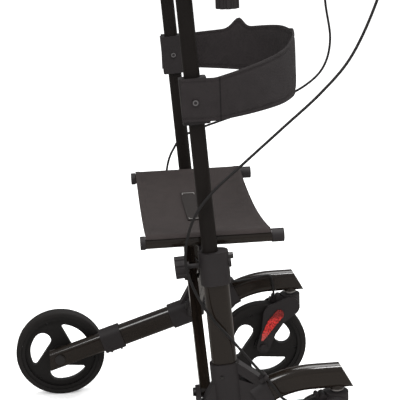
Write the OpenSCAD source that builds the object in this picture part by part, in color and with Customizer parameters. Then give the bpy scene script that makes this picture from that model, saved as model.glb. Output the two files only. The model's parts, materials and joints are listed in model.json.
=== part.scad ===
// Upright walker with forearm rests, folding scissor frame, fabric seat and backrest strap.
// Millimetres. X points forward, Y to the walker's left, Z up from the floor.

/* [Stance] */
// Distance from the middle to each side frame
side_y = 264; // [245:1:290]
// Rearward lean of the posts, in degrees
lean = 3.6; // [2:0.1:5]
// Place of the hubs ahead of the middle
hub_x = 55; // [45:1:65]
// From the hubs forward to the swivel stems
stem_reach = 203; // [195:1:225]
// From the hubs back to the rear axles
rear_reach = 323; // [300:1:345]
// From the hubs up to the seat rails
seat_rise = 265; // [258:1:285]

/* [Wheels] */
// Radius of every wheel
wheel_r = 100; // [92:1:104]
// Radius where the rim meets the tyre
rim_r = 88; // [84:1:90]
// Width of the tyre
tyre_w = 30; // [26:1:32]
// Width of the wheel's hub
wheel_hub_w = 32; // [28:1:34]
// Radius of the wheel's hub
wheel_hub_r = 19; // [16:1:22]
// Radius of the wheel axles
axle_r = 6; // [4:0.5:7]

/* [Side frame] */
// Fore-aft depth of the main tube
main_depth = 46; // [44:1:52]
// Width of the main tube
main_width = 30; // [29:1:34]
// Length of the main tube
main_len = 272; // [262:1:285]
// Wall of the tubes
tube_wall = 2; // [1.5:0.1:2.4]
// Wall of the moulded collars and sockets
shell_wall = 4; // [3:0.5:5]
// Depth of the front arm
arm_depth = 48; // [42:1:52]
// Width of the front arm
arm_width = 30; // [28:1:34]
// Bend radius of the front arm
arm_bend_r = 190; // [175:1:210]
// Depth of the rear leg
leg_depth = 50; // [46:1:54]
// Width of the rear leg
leg_width = 30; // [28:1:32]
// Slope of the rear leg, in degrees
leg_angle = 17.5; // [16:0.1:19]

/* [Post] */
// Fore-aft depth of the telescoping post
post_depth = 28; // [25:1:29]
// Width of the telescoping post
post_width = 22; // [18:1:23]
// Length of the telescoping post
post_len = 758; // [740:1:800]
// Height of the post collar
collar_h = 60; // [54:1:70]
// Distance from the top of the post down to the backrest bolt
rest_drop = 210; // [180:1:230]

/* [Fold] */
// Distance from the middle to the fold pivots
pivot_y = 228; // [222:1:231]
// Distance from the middle to the seat rails
rail_y = 230; // [226:1:231]
// Radius of the seat rails
rail_r = 11; // [10.5:0.5:13]
// Length of the seat rails without their caps
rail_len = 240; // [232:1:260]
// Fore-aft width of the cross bars
bar_w = 19.5; // [18:0.5:21]

/* [Fork] */
// Distance from the swivel stem back to the front axle
trail = 66.5; // [62:0.5:70]
// Width of the fork over its cheeks
fork_w = 50; // [46:1:54]
// Width of the fork's slot for the wheel
fork_slot_w = 38; // [36:1:40]
// Radius of the swivel stem
stem_r = 7; // [5:0.5:8]

/* [Soft goods] */
// Bare rail ahead of the seat cloth
seat_front_room = 15; // [10:1:20]
// Sag of the seat between the rails
seat_sag = 20; // [10:1:30]
// Height of the backrest strap at its ends
strap_end_h = 74; // [60:1:90]
// Height of the backrest strap in the middle
strap_mid_h = 107; // [95:1:130]
// How far the strap reaches ahead of the middle of the walker
strap_front_x = 223; // [210:1:250]
// Thickness of the strap
strap_t = 8; // [6:0.5:9]

/* [Handle and armrest] */
// Radius of the handle tube
handle_r = 12.7; // [11.5:0.1:13]
// Bend radius of the handle tube
handle_bend_r = 50; // [45:1:60]
// From the post forward to the upright grip
grip_reach = 231; // [220:1:245]
// Length of the grip
grip_len = 96; // [85:1:100]
// Radius of the grip
grip_r = 16.5; // [15:0.5:18]
// From the post forward to the armrest clamp
clamp_reach = 75; // [65:1:90]
// Length of the armrest
armrest_len = 230; // [210:1:240]
// Inner radius of the armrest tray
tray_r = 62; // [56:1:66]
// Thickness of the armrest pad at its crown
pad_t = 16; // [10:1:20]

/* [Knobs] */
// Radius of the clamp knobs
knob_r = 20; // [18:1:24]
// Height of the clamp knobs
knob_h = 19; // [17:1:24]
// Radius of the clamp screws
screw_r = 4; // [3:0.5:5]

/* [Hidden] */
$fn = 48;
sides = ["right", "left"];
side_parts = ["main_tube", "hub", "front_arm", "rear_leg", "leg_extension", "leg_collar", "post_collar",
    "frame_bolts", "brake_cable", "post", "rest_bracket", "handle_tube", "grip", "brake_body",
    "armrest_tray", "armrest_pad", "brake_lever", "post_knob", "armrest_knob", "brake_shoe", "fork",
    "reflectors", "front_rim", "front_tyre", "rear_rim", "rear_tyre", "rail_caps"];

// Clearances and the overrun of cuts
cut = 2;
seat_gap = 0.05;
run_gap = 0.06;
slide_gap = 0.3;
cloth_gap = 0.4;

// Colours
frame_colour = [0.14, 0.12, 0.11];
post_colour = [0.10, 0.09, 0.08];
plastic_colour = [0.19, 0.18, 0.18];
cloth_colour = [0.25, 0.23, 0.23];
steel_colour = [0.65, 0.65, 0.66];
reflector_colour = [0.80, 0.12, 0.10];
tyre_colour = [0.22, 0.22, 0.22];

// Front arm and the height of the frame
arm_clear = 25;
arm_z = 2 * wheel_r + arm_clear + arm_depth / 2;
stem_x = hub_x + stem_reach;
arm_bend_back = 43;
arm_bend_x = stem_x - arm_bend_back;
arm_root_angle = 34;
arm_tip_ahead = 31;
arm_tip_angle = 29;
arm_boss_r = 13;
arm_boss_drop = 1;
arm_boss_h = 18;
hub_z = arm_z;

// Main tube, hub and collar, measured along the post from the hub's middle
sleeve_low = 33;
sleeve_high = 42;
hub_floor = 8;
main_foot = hub_floor - sleeve_low;
main_top = main_foot + main_len;
collar_lip = 7;
collar_top = main_top + collar_lip;
guide_len = 90;
post_offset = -5;
post_foot_gap = 3;
post_foot = main_foot + post_foot_gap;
post_top = post_foot + post_len;
rest_bolt_s = post_top - rest_drop;
knob_drop = 23;
knob_s = collar_top - knob_drop;
boss_r = 10;
boss_h = 3;
button_r = 6;
button_h = 9;
button_drop = 12;

// Rear leg, measured from the rear axle along the leg
rear_axle_x = hub_x - rear_reach;
leg_root_gap = 23;
leg_root = rear_reach / cos(leg_angle) - leg_root_gap - hub_floor;
leg_socket_len = 42;
leg_tail = 112;
leg_collar_len = 46;
leg_collar_lip = 10;
leg_collar_tail = leg_tail - leg_collar_lip;
leg_screw_shares = [0.25, 0.75];
screw_sink = 1;
hub_screw_back = 8;
hub_screw_up = 20;
extension_depth = leg_depth - 2 * tube_wall - 2 * slide_gap;
extension_width = leg_width - 2 * tube_wall - 2 * slide_gap;
extension_in = 50;
extension_end_back = 23;
rear_wheel_gap = 4;
rear_wheel_y = side_y + leg_width / 2 + rear_wheel_gap + wheel_hub_w / 2;
rear_washer_h = rear_wheel_y - side_y - wheel_hub_w / 2 - extension_width / 2 - slide_gap;

// Hub web and the fold's clevis
web_w = 26;
web_mid_r = 30;
web_front_r = 27;
web_rear_r = leg_depth / 2;
web_mid_drop = 14;
lug_w = 8;
lug_gap = 0.6;
lug_r = 13;
lug_base_r = 20;
lug_base_drop = 15;
lug_base_out = 26;
pivot_drop = 30;
pivot_z = hub_z - pivot_drop;
bolt_r = 5;
bolt_head_r = 8;
bolt_head_h = 5;
small_screw_r = 2.5;
small_screw_h = 3;
clip_r = 5.5;
clip_w = 7;
clip_foot_w = 6;
clip_foot_len = 17;
clip_foot_drop = 13;
hub_cover_angle = 9;
hub_socket_angle = arm_root_angle - hub_cover_angle;
clip_ahead_angle = 1;
clip_out = 35;
clip_side = 23;
clip_angles = [-45, -22];
gusset_r = 8;
gusset_in_angle = 2;

// Cross bars and rails
bar_gap = 2;
bar_a_back = 36;
bar_a_x = hub_x - bar_a_back;
bar_b_x = bar_a_x + bar_w + bar_gap;
bar_foot_r = 11;
bar_top_r = 10;
bar_groove_w = 4;
bar_groove_deep = 1.5;
bar_groove_shares = [0.08, 0.90];
rail_z = hub_z + seat_rise;
seat_back = 13;
seat_x = hub_x - seat_back;
seat_rear_room = 1;
seat_from_x = seat_x - rail_len / 2 + seat_rear_room;
seat_to_x = seat_x + rail_len / 2 - seat_front_room;
rail_cap_over = 1.4;
rail_cap_r = rail_r + rail_cap_over;
rail_cap_h = 9;
rail_plug_len = 14;
rail_cap_gap = 2;
saddle_w = 14;
saddle_h = 26;
saddle_in = 14;

// Fork and brake shoe
front_axle_x = stem_x - trail;
cup_r = 22;
cup_top_gap = 5;
flange_h = 2;
cup_top = arm_z - arm_depth / 2 - arm_boss_drop - flange_h - cup_top_gap;
cup_h = 27;
cup_low = cup_top - cup_h;
stem_foot = 2;
wheel_room = 6;
crown_r = 17;
crown_back = 4;
crown_rise = 3;
fork_shares = [[1, 1], [0.45, 0.8], [0.22, 0.41], [0, 0]];
fork_rs = [22, 27, 17, 15];
shoe_room_r = 13;
shoe_room_out = 12;
shoe_room_angles = [73, 95];
shoe_gap = 3.2;
shoe_t = 9;
shoe_w = 15;
shoe_start_angle = 72;
shoe_end_angle = 80;
shoe_pin_angle = 70;
shoe_neck_angle = 2;
shoe_pin_out = 16;
shoe_pin = around_axle(shoe_pin_angle, wheel_r + shoe_pin_out);
shoe_pin_r = 3;
shoe_eye_r = 7;
shoe_eye_room = 0.8;
ear_w = 5;
ear_gap = 0.5;
ear_back = 10;
barrel_r = 4;
barrel_angle = 76;
barrel_out = 17;
reflector_t = 2;
reflector_shares = [[0.6, 0.83], [0.31, 0.6], [0.06, 0.33], [-0.04, 0.19]];
reflector_rs = [10.5, 10, 6.5, 2.2];

// Wheels
tyre_round = 5.5;
rim_wall = 8;
rim_in_r = rim_r - rim_wall;
rim_inset = 2;
rim_w = tyre_w - 2 * rim_inset;
web_disc_w = 14;
spokes = 3;
window_shift = 0;
window_pitch_r = (rim_in_r + wheel_hub_r) / 2 + window_shift;
window_big_r = 19;
window_small_r = 6;
window_tip_out = 13;
window_steps = 8;
window_angle = 58;
wheel_phase_angle = 21;
half_turn = 180;
rim_hole_r = 2.6;
rim_hole_out = 5;

// Handle, grip, brake body and lever
handle_x = hub_x + post_offset * cos(lean) - post_top * sin(lean);
handle_z = hub_z + post_offset * sin(lean) + post_top * cos(lean);
handle_wall = 2;
handle_back = 34;
handle_plug_h = 4;
grip_x = handle_x + grip_reach;
grip_gap = 5;
grip_low = handle_z + handle_bend_r + grip_gap;
grip_end_r = 20;
grip_end_h = 5;
brake_gap = 1;
brake_low = grip_low + grip_len + brake_gap;
brake_h = 26;
brake_ring_r = 19;
brake_block_w = 22;
lever_w = 9;
lever_gap = 0.5;
lever_out = 40;
lever_pin_r = 3;
lever_eye_r = 7;
lever_drop_shares = [0, 0.22, 0.85, 1];
lever_out_shares = [0, 0.5, 1, 1.7];
lever_len = 104;
lever_bow = 9;
squeeze_room = 10;
lever_rs = [7, 6, 5.5, 6.5];
lever_z = brake_low + brake_h / 2;
outlet_r = 4.5;
outlet_len = 14;
lever_x = grip_x + lever_out;
outlet_z = lever_z + lever_eye_r + cut + outlet_r;
grip_shares = [0.45, 0.6, 0.8];

// Armrest
clamp_x = handle_x + clamp_reach;
clamp_len = 48;
clamp_w = 40;
clamp_drop = 24;
tray_wall = 4;
tray_angle = 54;
tray_lift = 19;
tray_back_share = 0.82;
tray_z = handle_z + tray_lift + tray_r + tray_wall;
tray_rear_x = clamp_x - armrest_len * tray_back_share;
pad_edge_t = 5;
pad_inset = 5;
pad_angle = 50;
pad_rows = 14;
pad_columns = 12;
pad_round = 4;
pad_draw_share = 0.08;

// Knobs
flutes = 10;
flute_r = 3.4;
flute_out = 1.2;
knob_neck_r = 9;
knob_neck_h = 6;
post_knob_stand = 23.5;
armrest_knob_stand = 14;
screw_tip_gap = 0.3;

// Backrest bracket and strap
bracket_depth = 47;
bracket_width = 31;
bracket_h = 79;
bracket_round = 6;
strap_end_back = 23;
strap_end_ahead = 36;
strap_end_x = hub_x + post_offset - rest_bolt_s * sin(lean) + strap_end_ahead;
strap_y = side_y + bracket_width / 2 + cloth_gap + strap_t / 2;
strap_lift = 3;
strap_z = hub_z + rest_bolt_s * cos(lean) + strap_lift;
strap_rise = 20;
strap_bow_power = 3;
strap_edge_t = 4;
strap_pinch_y = 213;
strap_pinch_h = 20;
strap_pinch_w = 13;
strap_end_steps = 4;
strap_steps = 64;
rest_head_r = 5.5;
strap_rows = 6;

// Seat
seat_t = 3;
seat_steps = 24;
seat_wrap_steps = 6;
seat_rows = 8;
seat_wrap_angle = 50;
seat_wrap_share = 0.08;
pull_w = 30;
pull_t = 2;
pull_from_y = -103;
pull_to_y = 94;
pull_steps = 10;
pull_back = 18;
pull_x = seat_x - pull_back;

// Brake cables: routes chosen by hand, from the brake body down to the brake shoe
cable_r = 2.5;
cable_sides = 8;
cable_rings_per_step = 4;
cable_start = [lever_x + outlet_len + slide_gap, side_y, outlet_z];
clip_at = on_arm(hub_socket_angle - clip_ahead_angle, clip_out);
cable_end_out = shoe_w / 2 + cable_r + cloth_gap;
cable_end_x = 217;
cable_end_z = 214;
right_route = [[cable_start.x, -cable_start.y, cable_start.z], [320, -264, 1155], [346, -266, 1128],
    [357, -270, 1080], [352, -278, 1010], [327, -284, 927], [284, -287, 839], [232, -288, 780],
    [164, -289, 722], [93, -289, 662], [41, -289, 617], [8, -290, 575], [-9, -291, 525], [-9, -290, 475],
    [18, -288, 406], [70, -288, 335], [clip_at.x, -side_y - clip_side, clip_at.y], [140, -288, 243],
    [156, -287, 219], [180, -284, 207], [203, -278, 211],
    [cable_end_x, -side_y - cable_end_out, cable_end_z]];
right_clip = 16;
left_route = [cable_start, [314, 264, 1156], [334, 265, 1130], [343, 266, 1070], [342, 266, 970],
    [346, 266, 870], [356, 266, 790], [343, 266, 733], [308, 267, 695], [245, 272, 662], [150, 282, 630],
    [43, 290, 593], [9, 290, 558], [-6, 291, 515], [-8, 290, 460], [4, 280, 412], [14, 258, 376],
    [30, 242, 340], [66, 240, 300], [clip_at.x, side_y - clip_side, clip_at.y], [155, 244, 263],
    [180, 244, 266], [205, 244, 270], [214, 244, 262], [217, 244, 240], [218, 246, 226],
    [cable_end_x, side_y - cable_end_out, cable_end_z]];
left_clip = 19;

// Flat oval with round ends
module oval(depth, width) {
    square([depth - width, width], center = true);
    for (end = [-1, 1])
        translate([end * (depth - width) / 2, 0]) circle(d = width);
}

module oval_ring(depth, width, wall) {
    difference() {
        oval(depth, width);
        oval(depth - 2 * wall, width - 2 * wall);
    }
}

module rounded_box_outline(depth, width, round) {
    square([depth - 2 * round, width], center = true);
    square([depth, width - 2 * round], center = true);
    for (sx = [-1, 1], sy = [-1, 1])
        translate([sx * (depth / 2 - round), sy * (width / 2 - round)]) circle(r = round);
}

// Outline of a bar that runs through round joints, with straight sides between them
module chain(points, radii) {
    for (i = [0 : len(points) - 2])
        link_sides(points[i], radii[i], points[i + 1], radii[i + 1]);
    for (i = [0 : len(points) - 1])
        translate(points[i]) circle(r = radii[i]);
}

module link_sides(p, pr, q, qr) {
    gap = q - p;
    base = atan2(gap.y, gap.x);
    spread = acos((pr - qr) / norm(gap));
    polygon([for (s = [1, -1], k = s > 0 ? [0, 1] : [1, 0])
        let (turn = base + s * spread)
        (k == 0 ? p : q) + (k == 0 ? pr : qr) * [cos(turn), sin(turn)]]);
}

module link(p, pr, q, qr) {
    chain([p, q], [pr, qr]);
}

// Outlines drawn in the side view or the front view, given a width
module side_view(y, width) {
    translate([0, y, 0]) rotate([90, 0, 0]) linear_extrude(width, center = true) children();
}

module front_view(x, width) {
    translate([x, 0, 0]) rotate([90, 0, 90]) linear_extrude(width, center = true) children();
}

module rod_x(from, to, r) {
    translate([from, 0, 0]) rotate([0, 90, 0]) cylinder(h = to - from, r = r);
}

module rod_y(from, to, r) {
    translate([0, from, 0]) rotate([-90, 0, 0]) cylinder(h = to - from, r = r);
}

// Placing on the left or right side, along the post and along the rear leg
module on_side(side) {
    if (side == "left") mirror([0, 1, 0]) children();
    else children();
}

module on_post_axis() {
    translate([hub_x, -side_y, hub_z]) rotate([0, -lean, 0]) children();
}

module on_leg_axis() {
    translate([rear_axle_x, -side_y, wheel_r]) rotate([0, 90 - leg_angle, 0]) children();
}

module along(from, to) {
    translate([0, 0, from]) linear_extrude(to - from) children();
}

// Closed shell between two grids of points, the first on the outer side
module shell_between(outer, inner) {
    rows = len(outer);
    columns = len(outer[0]);
    points = concat([for (row = outer, p = row) p], [for (row = inner, p = row) p]);
    function o(i, j) = i * columns + j;
    function n(i, j) = rows * columns + i * columns + j;
    skin = [for (i = [0 : rows - 2], j = [0 : columns - 2]) each [
        [o(i, j), o(i, j + 1), o(i + 1, j + 1)], [o(i, j), o(i + 1, j + 1), o(i + 1, j)],
        [n(i, j), n(i + 1, j), n(i + 1, j + 1)], [n(i, j), n(i + 1, j + 1), n(i, j + 1)]]];
    ends = [for (j = [0 : columns - 2], last = [rows - 1]) each [
        [o(0, j + 1), o(0, j), n(0, j)], [o(0, j + 1), n(0, j), n(0, j + 1)],
        [o(last, j), o(last, j + 1), n(last, j + 1)], [o(last, j), n(last, j + 1), n(last, j)]]];
    edges = [for (i = [0 : rows - 2], last = [columns - 1]) each [
        [o(i, 0), o(i + 1, 0), n(i + 1, 0)], [o(i, 0), n(i + 1, 0), n(i, 0)],
        [o(i + 1, last), o(i, last), n(i, last)], [o(i + 1, last), n(i, last), n(i + 1, last)]]];
    polyhedron(points, concat(skin, ends, edges), convexity = 6);
}

// Smooth path through hand-chosen points, and a tube along it
function curve_point(a, b, c, d, t) =
    (2 * b + (c - a) * t + (2 * a - 5 * b + 4 * c - d) * t ^ 2 + (3 * b - a - 3 * c + d) * t ^ 3) / 2;

function smooth_path(route, steps) =
    let (last = len(route) - 1)
    concat([for (i = [0 : last - 1], k = [0 : steps - 1])
        curve_point(route[max(i - 1, 0)], route[i], route[i + 1], route[min(i + 2, last)], k / steps)],
        [route[last]]);

function unit(v) = v / norm(v);

module tube_along(path, r, n) {
    last = len(path) - 1;
    points = [for (i = [0 : last])
        let (t = unit(path[min(i + 1, last)] - path[max(i - 1, 0)]),
            across = unit(cross([0, 1, 0], t)), up = cross(t, across))
        each [for (k = [0 : n - 1]) path[i] + r * (cos(k * 360 / n) * across + sin(k * 360 / n) * up)]];
    walls = [for (i = [0 : last - 1], k = [0 : n - 1]) let (m = (k + 1) % n) each [
        [i * n + k, (i + 1) * n + k, (i + 1) * n + m], [i * n + k, (i + 1) * n + m, i * n + m]]];
    caps = [for (k = [1 : n - 2]) each [[0, k, k + 1], [last * n, last * n + k + 1, last * n + k]]];
    polyhedron(points, concat(walls, caps), convexity = 10);
}

// Lower oval upright of a side frame
module main_tube() {
    color(frame_colour) on_post_axis() difference() {
        along(main_foot, main_top) oval_ring(main_depth, main_width, tube_wall);
        translate([0, 0, knob_s]) rod_x(-main_depth, 0, screw_r + run_gap);
    }
}

// Outlines and cuts of the arm, which bends up from the hub and then runs level
function on_arm(turn, out) =
    [arm_bend_x - (arm_bend_r + out) * sin(turn), arm_z - arm_bend_r + (arm_bend_r + out) * cos(turn)];

module arm_sweep(depth, width, from_turn) {
    translate([arm_bend_x, -side_y, arm_z - arm_bend_r]) rotate([90, 0, 0]) rotate([0, 0, 90])
        rotate_extrude(angle = from_turn) translate([arm_bend_r, 0]) oval(depth, width);
}

module arm_level(depth, width, to_x) {
    translate([arm_bend_x, -side_y, arm_z]) rotate([90, 0, 90])
        linear_extrude(to_x - arm_bend_x) rotate(90) oval(depth, width);
}

module arm_tip_cut(inset) {
    tip_x = stem_x + arm_tip_ahead - inset;
    translate([tip_x, -side_y, arm_z - arm_depth / 2]) rotate([0, -arm_tip_angle, 0])
        translate([0, -arm_depth, -arm_depth]) cube([2 * arm_depth, 2 * arm_depth, 4 * arm_depth]);
}

module front_arm() {
    color(frame_colour) difference() {
        union() {
            difference() {
                union() {
                    arm_sweep(arm_depth, arm_width, arm_root_angle);
                    arm_level(arm_depth, arm_width, stem_x + arm_depth);
                }
                difference() {
                    union() {
                        arm_sweep(arm_depth - 2 * tube_wall, arm_width - 2 * tube_wall, arm_root_angle);
                        arm_level(arm_depth - 2 * tube_wall, arm_width - 2 * tube_wall, stem_x + arm_depth);
                    }
                    arm_tip_cut(tube_wall);
                }
                arm_tip_cut(0);
            }
            translate([stem_x, -side_y, arm_z - arm_depth / 2 - arm_boss_drop])
                cylinder(r = arm_boss_r, h = arm_boss_h);
        }
        translate([stem_x, -side_y, arm_z - arm_depth / 2 - arm_boss_drop - cut])
            cylinder(r = stem_r + seat_gap, h = arm_boss_h + 2 * cut);
    }
}

module rear_leg() {
    color(frame_colour) on_leg_axis() along(leg_tail, leg_root) oval_ring(leg_depth, leg_width, tube_wall);
}

module leg_extension() {
    hollow_from = tube_wall + extension_end_back;
    color(frame_colour) difference() {
        on_leg_axis() difference() {
            along(-2 * extension_end_back, leg_tail + extension_in) oval(extension_depth, extension_width);
            along(hollow_from, leg_tail + extension_in + cut)
                oval(extension_depth - 2 * tube_wall, extension_width - 2 * tube_wall);
        }
        translate([rear_axle_x - extension_end_back - extension_depth, -side_y - leg_width, 0])
            cube([extension_depth, 2 * leg_width, 2 * wheel_r]);
        translate([rear_axle_x, -side_y, wheel_r]) rod_y(-leg_width, leg_width, axle_r + seat_gap);
    }
}

module leg_collar() {
    outer_depth = leg_depth + 2 * shell_wall;
    outer_width = leg_width + 2 * shell_wall;
    color(plastic_colour) on_leg_axis() difference() {
        along(leg_collar_tail, leg_collar_tail + leg_collar_len) oval(outer_depth, outer_width);
        along(leg_tail, leg_collar_tail + leg_collar_len + cut)
            oval(leg_depth + 2 * seat_gap, leg_width + 2 * seat_gap);
        along(leg_collar_tail - cut, leg_tail + cut)
            oval(extension_depth + 2 * seat_gap, extension_width + 2 * seat_gap);
        leg_screws(outer_depth / 2 - screw_sink, screw_sink + cut, small_screw_r + seat_gap);
    }
}

// Room for the arm in its socket
module hub_clip_cut() {
    arm_sweep(arm_depth + 2 * seat_gap, arm_width + 2 * seat_gap, arm_root_angle);
}

// Moulded joint at the foot of a side frame, with a clevis for the cross bar at bar_x
module hub_web() {
    mid = [hub_x, hub_z - web_mid_drop];
    front = on_arm(arm_root_angle, 0);
    rear = [rear_axle_x + leg_root * cos(leg_angle), wheel_r + leg_root * sin(leg_angle)];
    gusset_out = main_depth / 2 + shell_wall - gusset_r;
    gusset_up = sleeve_high - gusset_r;
    gusset_top = [hub_x + gusset_out * cos(lean) - gusset_up * sin(lean),
        hub_z + gusset_out * sin(lean) + gusset_up * cos(lean)];
    gusset_tip = on_arm(hub_socket_angle + gusset_in_angle, arm_depth / 2 + shell_wall - gusset_r);
    side_view(-side_y, web_w) {
        link(mid, web_mid_r, front, web_front_r);
        link(mid, web_mid_r, rear, web_rear_r);
        link(gusset_top, gusset_r, gusset_tip, gusset_r);
    }
}

module hub_lugs(bar_x) {
    for (s = [-1, 1])
        front_view(bar_x + s * (bar_w / 2 + lug_gap + lug_w / 2), lug_w)
            link([-pivot_y, pivot_z], lug_r, [-pivot_y - lug_base_out, pivot_z - lug_base_drop], lug_base_r);
}

module hub_clip(at, slope) {
    color(plastic_colour) translate([at.x, 0, at.z]) rotate([0, -slope, 0]) difference() {
        union() {
            translate([0, at.y, 0]) rod_x(-clip_w / 2, clip_w / 2, clip_r);
            translate([-clip_w / 2, at.y, -clip_foot_drop])
                cube([clip_w, clip_foot_len, clip_foot_drop + clip_foot_w / 2]);
        }
        translate([0, at.y, 0]) rod_x(-clip_w, clip_w, cable_r + 2 * slide_gap);
    }
}

module hub(side, bar_x, clip, slope) {
    color(plastic_colour) union() {
        on_side(side) hub_shell(bar_x);
        difference() {
            hub_clip(clip, slope);
            on_side(side) hub_clip_cut();
        }
    }
}

module hub_shell(bar_x) {
    socket_from = leg_root - leg_socket_len;
    difference() {
        union() {
            on_post_axis() along(-sleeve_low, sleeve_high)
                oval(main_depth + 2 * shell_wall, main_width + 2 * shell_wall);
            on_leg_axis() along(socket_from, leg_root + shell_wall)
                oval(leg_depth + 2 * shell_wall, leg_width + 2 * shell_wall);
            difference() {
                arm_sweep(arm_depth + 2 * shell_wall, arm_width + 2 * shell_wall, arm_root_angle);
                translate([arm_bend_x, -side_y, arm_z - arm_bend_r]) rotate([0, -hub_socket_angle, 0])
                    translate([0, -arm_depth, -arm_bend_r])
                        cube([2 * arm_bend_r, 2 * arm_depth, 3 * arm_bend_r]);
            }
            hub_web();
            hub_lugs(bar_x);
        }
        on_post_axis() along(main_foot, sleeve_high + cut)
            oval(main_depth + 2 * seat_gap, main_width + 2 * seat_gap);
        on_leg_axis() along(socket_from - cut, leg_root)
            oval(leg_depth + 2 * seat_gap, leg_width + 2 * seat_gap);
        hub_clip_cut();
        translate([0, -pivot_y, pivot_z])
            rod_x(bar_x - bar_w - lug_w, bar_x + bar_w + lug_w, bolt_r + seat_gap);
        front_view(bar_x, bar_w + 2 * lug_gap)
            translate([-pivot_y, pivot_z]) circle(r = bar_foot_r + cut);
    }
}

// Collar at the top of the main tube: shell, guide for the post, clamp boss and saddle for the seat rail
module post_collar(bar_x) {
    inside = 2 * tube_wall + 2 * seat_gap;
    outer_depth = main_depth + 2 * shell_wall;
    outer_width = main_width + 2 * shell_wall;
    color(plastic_colour) difference() {
        union() {
            on_post_axis() {
                difference() {
                    along(collar_top - collar_h, collar_top) oval(outer_depth, outer_width);
                    along(collar_top - collar_h - cut, main_top)
                        oval(main_depth + 2 * seat_gap, main_width + 2 * seat_gap);
                }
                along(main_top - guide_len, collar_top)
                    oval(main_depth - inside, main_width - inside);
                translate([0, 0, knob_s])
                    rod_x(main_depth / 2 + shell_wall / 2, outer_depth / 2 + boss_h, boss_r);
            }
            rail_saddle(bar_x);
        }
        on_post_axis() translate([post_offset, 0, 0]) along(main_top - guide_len - cut, collar_top + cut)
            oval(post_depth + 2 * slide_gap, post_width + 2 * slide_gap);
        on_post_axis() translate([0, 0, knob_s]) rod_x(-main_depth, 0, screw_r + run_gap);
        on_post_axis() collar_button(button_h, button_r + seat_gap);
        translate([0, -rail_y, rail_z]) rod_x(seat_x - rail_len, seat_x + rail_len, rail_r + slide_gap);
    }
}

// Two saddle blocks inboard of the collar, one on each side of the bar that carries the rail
module rail_saddle(bar_x) {
    collar_x = hub_x - collar_top * sin(lean);
    half = (main_depth - saddle_w) / 2;
    root_y = -side_y + main_width / 2 + shell_wall / 2;
    for (s = [-1, 1]) {
        near_x = bar_x + s * (bar_w / 2 + cut + saddle_w / 2);
        x = min(max(near_x, collar_x - half), collar_x + half);
        if (abs(x - bar_x) >= bar_w / 2 + saddle_w / 2 + slide_gap)
            translate([x - saddle_w / 2, root_y, rail_z - rail_r - saddle_h / 2])
                cube([saddle_w, -rail_y + saddle_in - root_y, saddle_h / 2 + cut]);
    }
}

// Fasteners of a side frame, each a separate piece
module frame_bolts(bar_x) {
    outer_y = main_width / 2 + shell_wall;
    leg_outer = leg_depth / 2 + shell_wall;
    color(steel_colour) {
        translate([rear_axle_x, -side_y, wheel_r]) rear_axle();
        swivel_stem();
        translate([0, -pivot_y, pivot_z]) pivot_bolt(bar_x);
        on_post_axis() rotate([90, 0, 0]) translate([-hub_screw_back, hub_screw_up, outer_y])
            cylinder(r = small_screw_r, h = small_screw_h);
        on_post_axis() collar_button(button_h, button_r);
        on_leg_axis() leg_screws(leg_outer - screw_sink, small_screw_h + screw_sink, small_screw_r);
    }
}

// Screws under the leg collar and the button in front of the post collar, also cut as their seats
module leg_screws(from, h, r) {
    for (share = leg_screw_shares)
        translate([from, 0, leg_collar_tail + share * leg_collar_len]) rod_x(0, h, r);
}

module collar_button(h, r) {
    translate([main_depth / 2 + shell_wall - screw_sink, 0, collar_top - button_drop]) rod_x(0, h, r);
}

module rear_axle() {
    rod_y(-rear_wheel_y + side_y - wheel_hub_w / 2 - run_gap, extension_width / 2, axle_r);
    translate([0, extension_width / 2, 0]) rod_y(0, bolt_head_h, axle_r + bolt_head_h);
    rod_y(-rear_wheel_y + side_y - wheel_hub_w / 2 - bolt_head_h - slide_gap,
        -rear_wheel_y + side_y - wheel_hub_w / 2 - slide_gap, axle_r + bolt_head_h);
    rod_y(-extension_width / 2 - rear_washer_h, -extension_width / 2, axle_r + bolt_head_h / 2);
}

module swivel_stem() {
    seat_z = arm_z - arm_depth / 2 - arm_boss_drop;
    translate([stem_x, -side_y, 0]) {
        translate([0, 0, cup_low + 2 * stem_foot])
            cylinder(r = stem_r, h = seat_z + arm_boss_h - cup_low - 2 * stem_foot);
        translate([0, 0, seat_z - flange_h]) cylinder(r = arm_boss_r, h = flange_h);
    }
}

module pivot_bolt(bar_x) {
    reach = bar_w / 2 + lug_gap + lug_w;
    rod_x(bar_x - reach, bar_x + reach, bolt_r);
    rod_x(bar_x - reach - bolt_head_h, bar_x - reach, bolt_head_r);
    rod_x(bar_x + reach, bar_x + reach + bolt_head_h, bolt_head_r);
}

module brake_cable(route) {
    color(post_colour) tube_along(smooth_path(route, cable_rings_per_step), cable_r, cable_sides);
}

// Telescoping post with its top shaped to the handle tube
module post() {
    color(post_colour) difference() {
        on_post_axis() translate([post_offset, 0, 0]) along(post_foot, post_top)
            oval_ring(post_depth, post_width, tube_wall);
        translate([handle_x, -side_y, handle_z]) rod_x(-post_len, post_len, handle_r + seat_gap);
        on_post_axis() translate([post_offset, 0, rest_bolt_s])
            rod_y(-bracket_width, bracket_width, screw_r + seat_gap);
    }
}

module rest_bracket() {
    strap_out = bracket_width / 2 + strap_t + 2 * cloth_gap;
    color(plastic_colour) on_post_axis() translate([post_offset, 0, rest_bolt_s]) {
        difference() {
            along(-bracket_h / 2, bracket_h / 2)
                rounded_box_outline(bracket_depth, bracket_width, bracket_round);
            along(-bracket_h, bracket_h) oval(post_depth + 2 * seat_gap, post_width + 2 * seat_gap);
            rod_y(-bracket_width, bracket_width, screw_r + seat_gap);
        }
        rod_y(-strap_out, bracket_width / 2, screw_r);
        rod_y(-strap_out - small_screw_h, -strap_out, rest_head_r);
        rod_y(bracket_width / 2, bracket_width / 2 + small_screw_h, rest_head_r);
    }
}

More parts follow.
